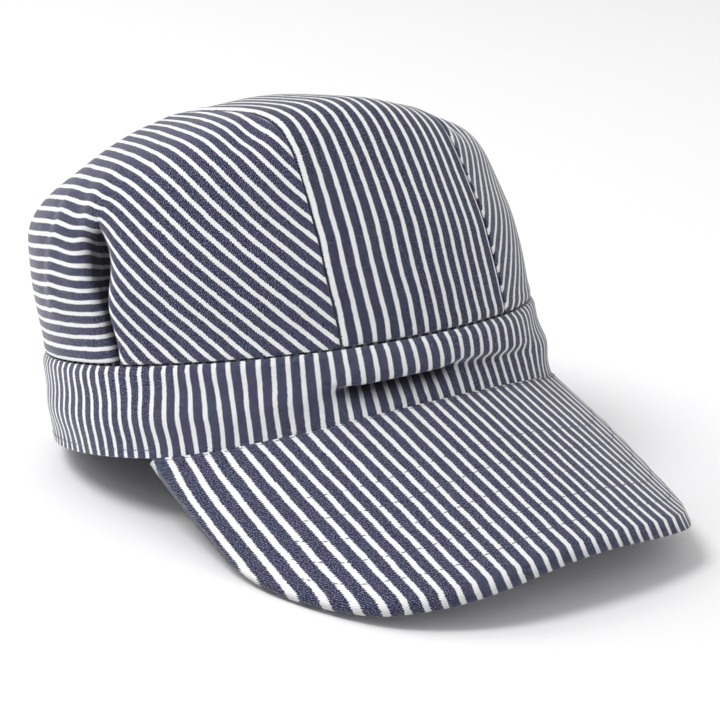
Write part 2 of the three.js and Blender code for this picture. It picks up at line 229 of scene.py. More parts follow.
# Two lines up each side panel, in degrees from the front: the crest over the pleat's top,
# and the soft fold behind the pleat, which comes forward between two rows
CREST_LINE = PLEAT_ANGLE + PLEAT_LEAN - 1.5
FOLD_LINE = (98.0, 92.0)
FOLD_ROWS = (1.2, 3.6)
RIDGES = (
    # line, degrees behind it, height, half width, rows where it rises and where it ends
    ("crest", 0.0, 1.5, 3.0, (2.6, 3.4), (3.6, 5.6)),
    ("crest", 4.5, -1.0, 1.8, (2.0, 2.8), (3.4, 4.6)),
    ("fold", 0.0, 0.8, 2.8, (0.5, 1.6), (3.6, 4.8)),
    ("fold", 4.0, -0.5, 2.4, (0.5, 1.6), (3.4, 4.6)),
)
STRIPE_STEPS = (
    # line, degrees behind it, step, rows where it starts and where it ends
    ("crest", 3.0, 1.3, (1.9, 2.5), (3.6, 4.8)),
    ("fold", 1.0, 1.0, (0.5, 1.4), (3.4, 4.4)),
)

# The dent of each side panel beside its seam, at the shoulder over the front
DENT_DEPTH = 2.4
DENT_ANGLE = 34.0
DENT_WIDTH = 8.0
DENT_ROW = 5.3
DENT_ROWS = 0.9
DENT_FADE = 9.0

# Stitching: the hem's height, the visor's rows from its edge, and for both the spacing and
# length of a stitch and the thickness of the thread
HEM_STITCH = 2.8
HEM_SPACING = 2.7
HEM_LENGTH = 2.1
VISOR_STITCH_ROWS = (13.0, 25.0, 37.0, 49.0, 61.0)
VISOR_SPACING = 2.6
VISOR_STITCH_LENGTH = 2.0
THREAD = 0.34

# Colours, and how strongly the cross threads show as flecks
BLUE = (0.015, 0.014, 0.048, 1.0)
STRIP_BLUE = (0.013, 0.012, 0.042, 1.0)
WRONG_BLUE = (0.11, 0.115, 0.20, 1.0)
LIGHT = (0.85, 0.85, 0.85, 1.0)
WRONG_LIGHT = (0.78, 0.77, 0.75, 1.0)
LIGHT_SHADE = (0.62, 0.62, 0.65, 1.0)
CROSS_THREAD = (0.46, 0.46, 0.60, 1.0)
TEAL_CAST = (0.62, 1.28, 1.06, 1.0)
VIOLET_CAST = (1.28, 0.86, 1.16, 1.0)
DULL_CAST = (1.10, 1.20, 0.58, 1.0)
# Painted shadow: the colour the cloth is multiplied towards deep in the pleats' slots and under
# the band's buckle, where shade falls
PAINTED_FOLD_SHADOW = (0.09, 0.09, 0.10, 1.0)
FLECK = 0.54
STRIP_FLECK = 0.42
WRONG_FLECK = 0.9
THREAD_DARK = (0.05, 0.055, 0.12, 1.0)
THREAD_LIGHT = (0.16, 0.17, 0.26, 1.0)
PAPER = (0.93, 0.93, 0.94, 1.0)

# View of the photograph, fitted with the cap leaning by its own angle
FRAME = 720
VIEW_TURN = -36.2
VIEW_RISE = 18.2
VIEW_LEAN = 11.0
VIEW_DISTANCE = 1000.0
VIEW_SCALE = 2.64
VIEW_CENTRE = (298.2, 406.0)

# Light: the even sky, and the lamps with the point they face
SKY = 0.60
LAMP_AIM = (0.0, 0.0, 0.07)
LAMPS = (
    # name, place, size, power
    ("key", (-1.10, 0.20, 2.0), 1.0, 24.5),
    ("fill", (0.7, -1.9, 1.3), 2.0, 4.0),
    ("rim", (-0.7, 1.5, 1.2), 1.6, 12.0),
)


def smooth(low, high, value):
    share = np.clip((value - low) / (high - low), 0.0, 1.0)
    return share * share * (3.0 - 2.0 * share)


def bump(centre, width, value):
    return np.exp(-(((value - centre) / width) ** 2))


def lerp(a, b, share):
    return a + (b - a) * share


def table(name, row):
    """Value of a column of the crown's table between its rows."""
    values = np.array(CROWN[name])
    last = len(values) - 1
    i = np.clip(np.floor(row).astype(int), 0, last - 1)
    a, b, c, d = (values[np.clip(i + k, 0, last)] for k in (-1, 0, 1, 2))
    f = row - i
    return b + 0.5 * ((c - a) * f + (2 * a - 5 * b + 4 * c - d) * f**2
                      + (3 * b - a - 3 * c + d) * f**3)


def crown_point(angle, row):
    """Point of the crown at a plan angle in radians and a row of its table."""
    angle, row = np.broadcast_arrays(np.asarray(angle, float), np.asarray(row, float))
    cos, sin = np.cos(angle), np.sin(angle)
    ahead = cos > 0
    power = np.where(ahead, 2 / table("square", row), 1.0)
    shift = table("shift", row)
    reach = np.where(ahead, table("front", row) + shift, table("back", row) - shift)
    rise = np.where(ahead, table("front_rise", row), table("back_rise", row))
    share = lerp(table("side_rise", row), rise, cos * cos)
    x = -np.sign(sin) * table("side", row) * np.abs(sin) ** power
    x = x * (1 - FAR_ROUNDING * smooth(0.2, 0.9, share) * smooth(0, 0.5, x))
    x = x * BAND_RADIUS - CROWN_LEAN * smooth(0, 0.35, share)
    y = (shift - np.sign(cos) * reach * np.abs(cos) ** power) * BAND_RADIUS
    sink = CROWN_SLOUCH * smooth(-10, 60, x) * np.maximum(share, 0) ** 2.2
    z = BAND_HEIGHT + SEAM_GAP + CROWN_HEIGHT * share - sink
    point = np.stack([x, y, z], axis=-1)
    eased = point.copy()
    for place, move, reach in CROWN_EASES:
        away = np.linalg.norm(point - place, axis=-1)
        eased = eased + bump(0, reach, away)[..., None] * move
    return eased


def unit(vectors):
    return vectors / np.maximum(np.linalg.norm(vectors, axis=-1, keepdims=True), 1e-9)


def crown_normal(angle, row):
    step = 0.004
    low = np.clip(row, step, TOP_ROW - 3 * step)
    across = crown_point(angle + step, low) - crown_point(angle - step, low)
    up = crown_point(angle, low + step) - crown_point(angle, low - step)
    return unit(np.cross(up, across))


def sheet_normal(points):
    """Outward normal at each point of a grid that runs over the crown."""
    normal = unit(np.cross(np.gradient(points, axis=0), np.gradient(points, axis=1)))
    inside = np.array([0.0, 0.0, BAND_HEIGHT])
    facing = np.sum(normal * (points - inside), axis=(0, 1, 2))
    return normal * np.sign(facing)


def evened(points, amount, rounds):
    """A grid eased towards the mean of each point's neighbours where amount is high."""
    for _ in range(rounds):
        mean = points.copy()
        mean[1:-1, 1:-1] = (points[:-2, 1:-1] + points[2:, 1:-1]
                            + points[1:-1, :-2] + points[1:-1, 2:]) / 4
        points = points + (mean - points) * amount[..., None]
    return points


def row_of_width(half):
    low, high = 2.0, TOP_ROW
    for _ in range(40):
        row = (low + high) / 2
        wide = table("side", np.array(row)) * BAND_RADIUS > half
        low, high = (row, high) if wide else (low, row)
    return low


def crown_line(half, stations):
    """The line that keeps one distance from the crown's middle, from the front of the band
    over the top to the back: its plan angles, its rows and its length."""
    fine = 400
    top = row_of_width(half) if half > 0 else TOP_ROW
    i = np.arange(2 * fine + 1)
    near = np.minimum(i, 2 * fine - i) / fine
    row = top * (1 - (1 - near) ** 2)
    square = np.where(i < fine, table("square", row), 2.0)
    ratio = np.minimum(1, half / np.maximum(table("side", row) * BAND_RADIUS, 1e-6))
    turn = np.arcsin(ratio ** (square / 2)) if half > 0 else np.zeros(len(i))
    angle = np.where(i <= fine, turn, math.pi - turn)
    points = crown_point(angle, row)
    lengths = np.r_[0, np.cumsum(np.linalg.norm(np.diff(points, axis=0), axis=1))]
    target = stations * lengths[-1]
    return np.interp(target, lengths, angle), np.interp(target, lengths, row), lengths[-1]


def ripple(points):
    """Small unevenness of soft cloth, in millimetres."""
    x, y, z = points[..., 0], points[..., 1], points[..., 2]
    wave = np.sin(x / 9.1 + 1.3 * np.sin(z / 13.0)) * np.sin(y / 11.7 + 0.7 * np.sin(x / 17.0))
    return 0.22 * wave + 0.16 * np.sin(z / 6.3 + y / 21.0 + 2.0 * np.sin(x / 31.0))


def rested(points):
    """From upright on the headband to resting on the floor, in metres."""
    lean = math.radians(REST_LEAN)
    x, y, z = points[..., 0], points[..., 1], points[..., 2]
    leaned = np.stack([
        x,
        y * math.cos(lean) + z * math.sin(lean),
        -y * math.sin(lean) + z * math.cos(lean),
    ], axis=-1) + np.array(REST_PLACE)
    leaned[..., 2] = np.maximum(leaned[..., 2], 0.0)
    return leaned * MM


def grid_mesh(name, points, cloth, closed=False, depth=None):
    """A sheet of quads with its cloth coordinates, in metres along and across the cloth, and
    how deep in a fold each point lies, from 0 to 1, which sets its painted shadow."""
    rows, columns = points.shape[:2]
    places = rested(points)
    index = np.arange(rows * columns).reshape(rows, columns)
    if closed:
        index[:, -1] = index[:, 0]
    a, b = index[:-1, :-1], index[:-1, 1:]
    c, d = index[1:, 1:], index[1:, :-1]
    faces = np.stack([a, b, c, d], axis=-1).reshape(-1, 4)
    corners = np.stack([cloth[:-1, :-1], cloth[:-1, 1:], cloth[1:, 1:], cloth[1:, :-1]], axis=2)
    mesh = bpy.data.meshes.new(name)
    mesh.from_pydata(places.reshape(-1, 3).tolist(), [], faces.tolist())
    layer = mesh.uv_layers.new(name="cloth")
    layer.data.foreach_set("uv", (corners.reshape(-1, 2) * MM).ravel())
    # Painted shadow mask: near 1 deep in a fold, where the colour is darkened to stand in for
    # shade
    deep = mesh.attributes.new("painted_shadow_depth", "FLOAT", "POINT")
    if depth is not None:
        values = np.broadcast_to(depth, (rows, columns)).astype(np.float32)
        deep.data.foreach_set("value", values.ravel())
    tidy = bmesh.new()
    tidy.from_mesh(mesh)
    bmesh.ops.remove_doubles(tidy, verts=tidy.verts, dist=1e-5)
    bmesh.ops.delete(tidy, geom=[v for v in tidy.verts if not v.link_faces], context="VERTS")
    tidy.to_mesh(mesh)
    tidy.free()
    return mesh


def link(name, mesh, materials):
    piece = bpy.data.objects.new(name, mesh)
    bpy.context.scene.collection.objects.link(piece)
    for material in materials:
        mesh.materials.append(material)
    mesh.polygons.foreach_set("use_smooth", [True] * len(mesh.polygons))
    return piece


def finished(piece):
    """The piece with its modifiers worked into its mesh."""
    depsgraph = bpy.context.evaluated_depsgraph_get()
    mesh = bpy.data.meshes.new_from_object(piece.evaluated_get(depsgraph))
    piece.modifiers.clear()
    old = piece.data
    piece.data = mesh
    mesh.name = piece.name
    bpy.data.meshes.remove(old)
    return piece


def thickened(piece, thickness, levels=1, inside=1):
    wall = piece.modifiers.new("wall", "SOLIDIFY")
    wall.thickness = thickness * MM
    wall.offset = -1.0
    wall.material_offset = inside
    round_off = piece.modifiers.new("round", "SUBSURF")
    round_off.levels = levels
    round_off.render_levels = levels
    return finished(piece)


def stands_for(piece, node):
    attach(piece, "root")
    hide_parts(node)


# Side panels
def settle(points, target, weights, pinned):
    """Coordinates over a grid whose steps come as near as they can to the steps asked for.
    Target holds the wanted slope at each point as a vector, weights the hold across."""
    rows, columns = points.shape[:2]
    index = np.arange(rows * columns).reshape(rows, columns)
    flat, slope = points.reshape(-1, 3), target.reshape(-1, 3)
    pairs = [
        (index[:, :-1], index[:, 1:], weights),
        (index[:-1, :], index[1:, :], np.ones((rows - 1, columns))),
        (index[:-1, :-1], index[1:, 1:], weights[:-1]),
        (index[:-1, 1:], index[1:, :-1], weights[:-1]),
    ]
    start = np.concatenate([pair[0].ravel() for pair in pairs])
    end = np.concatenate([pair[1].ravel() for pair in pairs])
    hold = np.concatenate([pair[2].ravel() for pair in pairs])
    step = flat[end] - flat[start]
    wanted = np.sum(step * (slope[start] + slope[end]) / 2, axis=1)
    hold = hold / (np.sum(step * step, axis=1) + 0.2)
    size = rows * columns
    stay = np.zeros(size)
    stay[pinned] = 1.0

    def times(value):
        pull = hold * (value[end] - value[start])
        return (np.bincount(end, pull, size) - np.bincount(start, pull, size)) + stay * value

    right = np.bincount(end, hold * wanted, size) - np.bincount(start, hold * wanted, size)
    scale = 1 / (np.bincount(end, hold, size) + np.bincount(start, hold, size) + stay)
    value = np.zeros(size)
    rest = right - times(value)
    ahead = scale * rest
    course = ahead.copy()
    power = rest @ ahead
    for _ in range(1500):
        moved = times(course)
        share = power / (course @ moved)
        value += share * course
        rest -= share * moved
        ahead = scale * rest
        power, before = rest @ ahead, power
        if power < 1e-10:
            break
        course = ahead + power / before * course
    return value.reshape(rows, columns)


def panel_columns():
    """Plan angles of a side panel's columns on the band, with the folds of each: its swing
    and push low on the panel, and high."""
    start = math.degrees(math.asin(STRIP_HALF / BAND_RADIUS / CROWN["side"][0]))
    first, last = PLEAT_ANGLE + PLEAT_COLUMNS[0][0], PLEAT_ANGLE + PLEAT_COLUMNS[-1][0]
    front = np.linspace(start, first, PANEL_FRONT_COLUMNS)[:-1]
    back = np.linspace(last, 180 - start, PANEL_BACK_COLUMNS)[1:]
    places = np.array(PLEAT_COLUMNS)
    angles = np.r_[front, PLEAT_ANGLE + places[:, 0], back]
    folds = [np.r_[front * 0, places[:, k], back * 0] for k in (1, 2, 3, 4)]
    return angles, folds


def panel_layout():
    """Angles and rows of the panel's smooth surface, and the swing in degrees and the push
    in millimetres of its pleat."""
    angles, folds = panel_columns()
    along = (angles - angles[0]) / (angles[-1] - angles[0])
    seam_angle, seam_row, _ = crown_line(STRIP_HALF + SEAM_GAP / 2, along)
    share = np.linspace(0, 1, PANEL_ROWS)
    share = (share - 0.045 * np.sin(2 * math.pi * share))[:, None]
    row = seam_row[None, :] * share
    opened = lerp(PLEAT_AT_BAND, 1.0, smooth(0, PLEAT_FULL_ROW, row))
    opened = opened * (1 - smooth(*PLEAT_END_ROWS, row))
    high = smooth(*PLEAT_OPENING_ROWS, row)
    swing = lerp(folds[0], folds[2], high) * opened
    push = lerp(folds[1], folds[3], high) * opened
    near = 1 - smooth(0, PLEAT_LEAN_REACH, np.abs(angles - PLEAT_ANGLE))[None, :]
    lean = PLEAT_LEAN * smooth(*PLEAT_LEAN_ROWS, row) * near
    bottom = np.radians(angles[None, :] + lean * (1 - share))
    angle = lerp(bottom, seam_angle[None, :], smooth(0.35, 1.0, share))
    return angle, row, swing, push


def panel_cloth():
    """Cloth coordinates of a side panel. The stripes run level behind the pleat, slope
    down to the front before it, and run straight back over the top."""
    angle, row, _, _ = panel_layout()
    points = crown_point(angle, row)
    normal = crown_normal(angle, row)
    ahead = unit(np.cross(normal, np.array([0.0, 0.0, 1.0])))
    ahead *= np.where(ahead[..., 1:2] > 0, -1, 1)
    up = np.cross(ahead, normal)
    up *= np.sign(up[..., 2:3] + 1e-9)
    degrees = np.degrees(angle)
    columns, _ = panel_columns()
    behind = smooth(-10, 10, degrees - PLEAT_ANGLE - PLEAT_LEAN)
    behind = lerp((columns[None, :] > PLEAT_ANGLE) + 0.0 * row, behind, smooth(3.2, 4.2, row))
    by_opening = (1 - smooth(*OPENING_SLOPE_END, degrees)) * smooth(1.0, 2.2, row)
    level = BACK_SLOPE + OPENING_SLOPE * by_opening
    base = lerp(PANEL_SLOPE, level, behind)
    at_fold = (1 - behind) * bump(PLEAT_ANGLE, 6, degrees) * (1 - smooth(1.5, 3.2, row))
    base = base + FOLD_SLOPE * at_fold
    over_top = TOP_SLOPE_ANGLE - degrees
    slope = np.radians(lerp(base, over_top, smooth(*TOP_SLOPE_ROWS, row)))[..., None]
    along = np.cos(slope) * ahead - np.sin(slope) * up
    across = np.sin(slope) * ahead + np.cos(slope) * up
    drawn = behind * (1 - smooth(*FOLD_CLOSING_END, degrees))
    closing = FOLD_CLOSING * drawn + FRONT_CLOSING * (1 - behind)
    across = across * (1 + closing)[..., None]
    middle = (columns[1:] + columns[:-1]) / 2 - PLEAT_ANGLE
    hidden = (middle > SLOT[0]) & (middle < SLOT[1])
    free = lerp(SLOT_FREE_LOW, SLOT_FREE_HIGH, smooth(1.7, 2.3, row)) * (1 - smooth(2.6, 3.2, row))
    weights = 1 - hidden[None, :] * free[:, 1:]
    index = np.arange(row.size).reshape(row.shape)
    stripe = settle(points, across, weights, index[0, columns > PLEAT_ANGLE + 2])
    length = settle(points, along, weights, index[0, -1:])
    for line, behind_line, step, start, end in STRIPE_STEPS:
        over = kink(panel_line(line, row) + behind_line, degrees)
        stripe = stripe - step * over * smooth(*start, row) * (1 - smooth(*end, row))
    return np.stack([stripe - WHITE / 2, length], axis=-1)


def panel_line(line, row):
    """Plan angle of the crest or of the soft fold of a side panel, by row."""
    if line == "crest":
        return CREST_LINE
    return lerp(*FOLD_LINE, smooth(*FOLD_ROWS, row))


def kink(place, degrees):
    """A step over a small ridge in the cloth that dies out in front of it."""
    return smooth(0.7, -0.7, degrees - place) * smooth(-8, 0, degrees - place)


def seam_tuck(distance):
    """Cloth drawn in at a seam and full beside it."""
    drawn = SEAM_DRAW * bump(0, SEAM_DRAW_RUN, distance)
    return SEAM_FULLNESS * bump(3.0, 2.5, distance) - drawn


def band_tuck(height):
    """Cloth that bulges a little over the headband's top edge."""
    return BAND_EDGE_FULLNESS * bump(2.2, 2.4, height)


def side_panel(name, side, cloth, materials):
    """One side panel of cloth. Side is 1 for the wearer's right and -1 for the left."""
    angle, row, swing, push = panel_layout()
    normal = crown_normal(side * angle, row)
    smooth_points = crown_point(side * angle, row)
    steps = np.linalg.norm(np.diff(smooth_points, axis=0), axis=-1)
    height = np.vstack([np.zeros(angle.shape[1]), np.cumsum(steps, axis=0)])
    degrees = np.degrees(angle)
    out = push + seam_tuck(height[-1:] - height) + band_tuck(height)
    for line, behind_line, high, wide, start, end in RIDGES:
        over = bump(panel_line(line, row) + behind_line, wide, degrees)
        out = out + high * over * smooth(*start, row) * (1 - smooth(*end, row))
    dent = bump(DENT_ANGLE, DENT_WIDTH, degrees) * bump(DENT_ROW, DENT_ROWS, row)
    out = out - DENT_DEPTH * dent * smooth(0, DENT_FADE, height[-1:] - height)
    out = out + ripple(smooth_points) * smooth(0, 6, height) * smooth(0, 6, height[-1:] - height)
    points = crown_point(side * (angle + np.radians(swing)), row) + normal * out[..., None]
    # Painted shadow in the pleat's slot and hollow, darkest where the cloth is pushed deepest in
    depth = smooth(-0.4, -3.4, push)
    if side > 0:
        points, cloth, depth = points[:, ::-1], cloth[:, ::-1], depth[:, ::-1]
    piece = link(name, grid_mesh(name, points, cloth, depth=depth), materials)
    return thickened(piece, CROWN_CLOTH)


def crown_strip(materials):
    """The strip of cloth from the front over the top, a little under the side panels."""
    half = STRIP_HALF + SEAM_LAP
    share = np.linspace(1, -1, STRIP_COLUMNS)
    share = share + 0.03 * np.sin(math.pi * share)
    stations = np.linspace(0, 1, STRIP_ROWS)
    angle, row, length = [], [], []
    for value in share:
        a, r, total = crown_line(abs(value) * half, stations)
        angle.append(np.copysign(a, value))
        row.append(r)
        length.append(stations * total)
    angle, row, length = (np.array(part).T for part in (angle, row, length))
    points = crown_point(angle, row)
    edge = half * (1 - np.abs(share))[None, :]
    ends = np.minimum(length, length[-1:] - length)
    away = np.linalg.norm(points - STRIP_TOP, axis=-1) + 0 * edge
    points = evened(points, (1 - smooth(22, 48, away)) * smooth(0, 8, edge), 60)
    lap = 0.25 * bump(1.5, 1.5, edge) - 0.4 * bump(0, SEAM_DRAW_RUN, edge)
    out = seam_tuck(edge) + lap + band_tuck(ends)
    out = out + ripple(points) * smooth(0, 6, edge) * smooth(0, 6, ends)
    points = points + sheet_normal(points) * out[..., None]
    across = -share[None, :] * STRIP_HALF + 0 * row
    cloth = np.stack([across, length], axis=-1)
    piece = link("strip_cloth", grid_mesh("strip_cloth", points, cloth), materials)
    return thickened(piece, CROWN_CLOTH)


# Headband
def on_circle(radius, angle, z):
    return np.stack([-radius * np.sin(angle), -radius * np.cos(angle), z], axis=-1)


def seam_height(angle):
    inside = np.abs(angle) < math.radians(VISOR_ANGLE)
    wave = np.maximum(0, np.cos(angle / math.radians(VISOR_ANGLE) * math.pi / 2))
    return SEAM_RISE * wave**1.6 * inside


def seam_radius(angle):
    turn = np.degrees(np.abs(angle))
    flare = smooth(12, 50, turn) * (1 - smooth(66, 100, turn))
    return BAND_RADIUS + flare * (BAND_SPREAD + FAR_SPREAD * (angle < 0))


# Section of the band where it buckles over the visor, from the seam up: how far out,
# and the height over the visor's seam
BUCKLE = np.array([
    (0.0, 0.0),
    (-0.7, 1.8),
    (-1.8, 4.2),
    (-3.2, 6.8),
    (-4.6, 9.0),
    (-5.4, 10.3),
    (-4.9, 11.1),
    (-2.6, 11.2),
    (-0.2, 10.9),
    (1.3, 10.8),
    (2.2, 11.4),
    (2.6, 12.8),
    (2.5, 15.0),
    (1.9, 17.6),
    (1.1, 20.0),
    (0.4, 21.8),
    (0.0, 23.2),
])


def resample(points, count):
    steps = np.linalg.norm(np.diff(points, axis=0), axis=1)
    lengths = np.r_[0, np.cumsum(steps)]
    target = np.linspace(0, lengths[-1], count)
    return np.stack([np.interp(target, lengths, points[:, k]) for k in (0, 1)], axis=-1)


def band_surface():
    """Points, cloth coordinates and depth of painted shadow of the headband, from its hem up."""
    angles = np.radians(np.linspace(180, -180, BAND_COLUMNS))
    degrees = np.degrees(angles)
    folded = resample(BUCKLE, BAND_ROWS)
    share = np.linspace(0, 1, BAND_ROWS)
    amount = 1 - smooth(*BUCKLE_FADE, np.abs(degrees - BUCKLE_MIDDLE))
    far_amount = 1 - smooth(*BUCKLE_FAR_FADE, np.abs(degrees - BUCKLE_FAR_MIDDLE))
    amount = np.maximum(amount, BUCKLE_FAR_SHARE * far_amount)
    soft = smooth(*CREASE_START, np.abs(degrees - CREASE_MIDDLE))
    soft = soft * (1 - CREASE_BACK_LOSS * smooth(*CREASE_BACK, np.abs(degrees)))
    lip = LIP * (bump(-5, 5, degrees) - smooth(8, 22, -degrees))
    seam = seam_height(angles)
    hem = seam - VISOR_THICKNESS * np.minimum(1, seam / SEAM_RISE * 2)
    out, height = [], []
    for k in range(HEM_ROWS):
        out.append(np.zeros(len(angles)))
        height.append(lerp(hem - 0.01 * (HEM_ROWS - k), seam, k / HEM_ROWS))
    for k in range(BAND_ROWS):
        flat = lerp(seam, BAND_HEIGHT, share[k])
        fold = seam + folded[k, 1] * (BAND_HEIGHT - seam) / BUCKLE[-1, 1]
        fold = fold + lip * bump(0.5, 0.22, share[k])
        crease = CREASE * bump(0.42, 0.2, share[k])
        wave = CREASE_WAVE * np.sin(degrees / CREASE_WAVE_RUN) * np.sin(3 * math.pi * share[k])
        full = BAND_FULLNESS * bump(0.85, 0.15, share[k])
        out.append(folded[k, 0] * amount + (crease + wave) * soft + full)
        height.append(lerp(flat, fold, amount))
    out, height = np.array(out), np.array(height)
    part = np.clip((height - seam) / (BAND_HEIGHT - seam), 0, 1)
    flare = (seam_radius(angles) - BAND_RADIUS) * (1 - part) ** 1.5
    turned_in = BAND_TURN * smooth(BAND_HEIGHT - BAND_TURN_RUN, BAND_HEIGHT, height)
    radius = BAND_RADIUS + flare + out - turned_in
    points = on_circle(radius, angles[None, :], height)
    steps = np.linalg.norm(np.diff(points, axis=0), axis=-1)
    along = np.vstack([np.zeros(len(angles)), np.cumsum(steps, axis=0)])
    around = 2 * math.pi * BAND_RADIUS
    spare = math.ceil(around / PITCH) * PITCH - around
    joint = np.sign(angles) * spare / 2 * smooth(*JOINT_FADE, np.abs(degrees))
    across = -BAND_RADIUS * angles - joint - BAND_PHASE + 0 * along
    across = across + 0.5 * np.sin(degrees / 4.7) * np.sin(along / 7.0) * soft
    # The last value masks painted shadow where the band is pushed in under its buckle
    return points, np.stack([across, along], axis=-1), smooth(-1.3, -4.6, out)


def headband(materials):
    points, cloth, depth = band_surface()
    piece = link("band_cloth", grid_mesh("band_cloth", points, cloth, True, depth), materials)
    return thickened(piece, BAND_WALL)


# Visor
def droop_way():
    droop = math.radians(VISOR_DROOP)
    return np.array([0.0, -math.cos(droop), -math.sin(droop)])


def visor_point(angle, reach):
    """Point of the visor's top at a plan angle on its seam and a reach from there."""
    angle, reach = np.broadcast_arrays(angle, reach)
    point = on_circle(seam_radius(angle) + SEAM_GAP, angle, seam_height(angle))
    point = point + reach[..., None] * droop_way()
    share = np.clip(reach / VISOR_LENGTH, 0, 1.1)
    x = point[..., 0] * (1 + VISOR_FLARE * share) - VISOR_SKEW * share
    lift = VISOR_LIFT * share**VISOR_LIFT_POWER * smooth(VISOR_LIFT_START, BAND_RADIUS, x)
    aside = smooth(*VISOR_SIDES, np.abs(np.degrees(angle)))
    lift = lift - VISOR_SWEEP * aside * (1 - np.exp(-reach / VISOR_SWEEP_RUN))
    tuck = 1 - VISOR_TUCK * share**VISOR_TUCK_POWER
    tucked = VISOR_TUCK_START + (x - VISOR_TUCK_START) * tuck
    x = np.where(x > VISOR_TUCK_START, tucked, x)
    return np.stack([x, point[..., 1], point[..., 2] + lift], axis=-1)


def visor_arch(angle):
    """Distance over the arch from its middle to the seam at a plan angle, without sign."""
    fine = np.radians(np.linspace(0, VISOR_ANGLE, 600))
    droop = math.radians(VISOR_DROOP)
    x = BAND_RADIUS * np.sin(fine)
    h = BAND_RADIUS * np.cos(fine) * math.sin(droop) + seam_height(fine) * math.cos(droop)
    lengths = np.r_[0, np.cumsum(np.hypot(np.diff(x), np.diff(h)))]
    return np.interp(np.abs(angle), fine, lengths)


def angle_of_arch(arch):
    fine = np.radians(np.linspace(0, VISOR_ANGLE, 600))
    return np.interp(np.abs(arch), visor_arch(fine), fine)


def outline_reach(angle):
    """Reach of the visor's outline along the straight line that starts at a plan angle."""
    arch = visor_arch(angle)
    droop = math.radians(VISOR_DROOP)
    back = BAND_RADIUS * (1 - np.cos(angle)) * math.cos(droop)
    back = back - (SEAM_RISE - seam_height(angle)) * math.sin(droop)
    reach = np.full(np.shape(angle), VISOR_LENGTH / 2)
    for _ in range(60):
        across = np.clip(arch * (1 + VISOR_FLARE * reach / VISOR_LENGTH) / VISOR_FLAT_HALF, 0, 1)
        depth = (VISOR_LENGTH + VISOR_SIDE_START) * (1 - across**2.5) ** (1 / 3)
        reach = (reach + depth - VISOR_SIDE_START + back) / 2
    aside = -angle / math.radians(VISOR_ANGLE)
    far = sum(smooth(start, 1.0, aside) for start in VISOR_FAR_CORNER_STARTS)
    near = smooth(VISOR_NEAR_CORNER_START, 1.0, angle / math.radians(VISOR_NEAR_START))
    full = VISOR_FULL_FRONT * bump(VISOR_FULL_PLACE, VISOR_FULL_WIDTH, -aside)
    return reach * (1 - VISOR_FAR_CORNER * far - VISOR_NEAR_CORNER * near + full)


def visor_layout():
    """Plan angle, reach, distance from the rounded edge, place over the arch and thickness
    over a grid of the visor."""
    half = float(visor_arch(math.radians(VISOR_ANGLE)))
    near_half = float(visor_arch(math.radians(VISOR_NEAR_START)))
    share = np.linspace(-1, 1, VISOR_COLUMNS)
    share = share + 0.16 * np.sin(math.pi * share)
    arch = share * np.where(share < 0, near_half, half)
    angle = -np.sign(arch) * angle_of_arch(arch)
    outline = outline_reach(angle)
    inward = np.linspace(0, 1, VISOR_ROWS)
    inward = 1 - (1 - inward) ** 1.9
    reach = outline[None, :] * inward[:, None]
    reach = outline[None, :] - reach
    ahead = outline + BAND_RADIUS * np.cos(angle) * math.cos(math.radians(VISOR_DROOP))
    slope = np.gradient(ahead, arch)
    from_front = (outline[None, :] - reach) / np.sqrt(1 + slope**2)[None, :]
    from_side = np.maximum(half * (1 - np.abs(share)), 0)[None, :] + 0 * reach
    full = smooth(0, VISOR_NEAR_THIN_RUN, from_side)
    full = np.where(arch[None, :] > 0, 1.0, full)
    thickness = VISOR_THICKNESS * lerp(VISOR_NEAR_THICKNESS, 1, full)
    closest = (np.maximum(from_front, 1e-3) ** -4 + np.maximum(from_side, 1e-3) ** -4) ** -0.25
    return angle[None, :] + 0 * reach, reach, closest, -arch[None, :] + 0 * reach, thickness


def visor(materials):
    """The visor as one closed piece: its top, its underside and its turned edge."""
    angle, reach, closest, arch, thickness = visor_layout()
    top = visor_point(angle, reach)
    under = 1 - np.clip(closest / (VISOR_ROUND * thickness / VISOR_THICKNESS), 0, 1)
    fall = thickness * (1 - np.sqrt(np.maximum(0, 1 - under**VISOR_EDGE_POWER)))
    top[..., 2] -= fall
    below = visor_point(angle, reach)
    below[..., 2] -= thickness
    edge = np.zeros(angle.shape, bool)
    edge[0, :] = edge[:, 0] = edge[:, -1] = True
    top[edge] = below[edge]
    across = -arch - VISOR_PHASE
    turned = VISOR_TURN * smooth(40, 72, np.degrees(angle))
    turned = turned * (1 - np.exp(-reach / VISOR_TURN_RUN))
    cloth = np.stack([across + turned, -reach - fall], axis=-1)
    upper = grid_mesh("visor_cloth", top, cloth)
    lower = grid_mesh("visor_under", below[:, ::-1], cloth[:, ::-1])
    whole = bmesh.new()
    whole.from_mesh(upper)
    whole.from_mesh(lower)
    bpy.data.meshes.remove(lower)
    bmesh.ops.remove_doubles(whole, verts=whole.verts, dist=2e-5)
    back = [edge for edge in whole.edges if edge.is_boundary]
    bmesh.ops.bridge_loops(whole, edges=back)
    bmesh.ops.recalc_face_normals(whole, faces=whole.faces)
    whole.to_mesh(upper)
    whole.free()
    return link("visor_cloth", upper, materials)


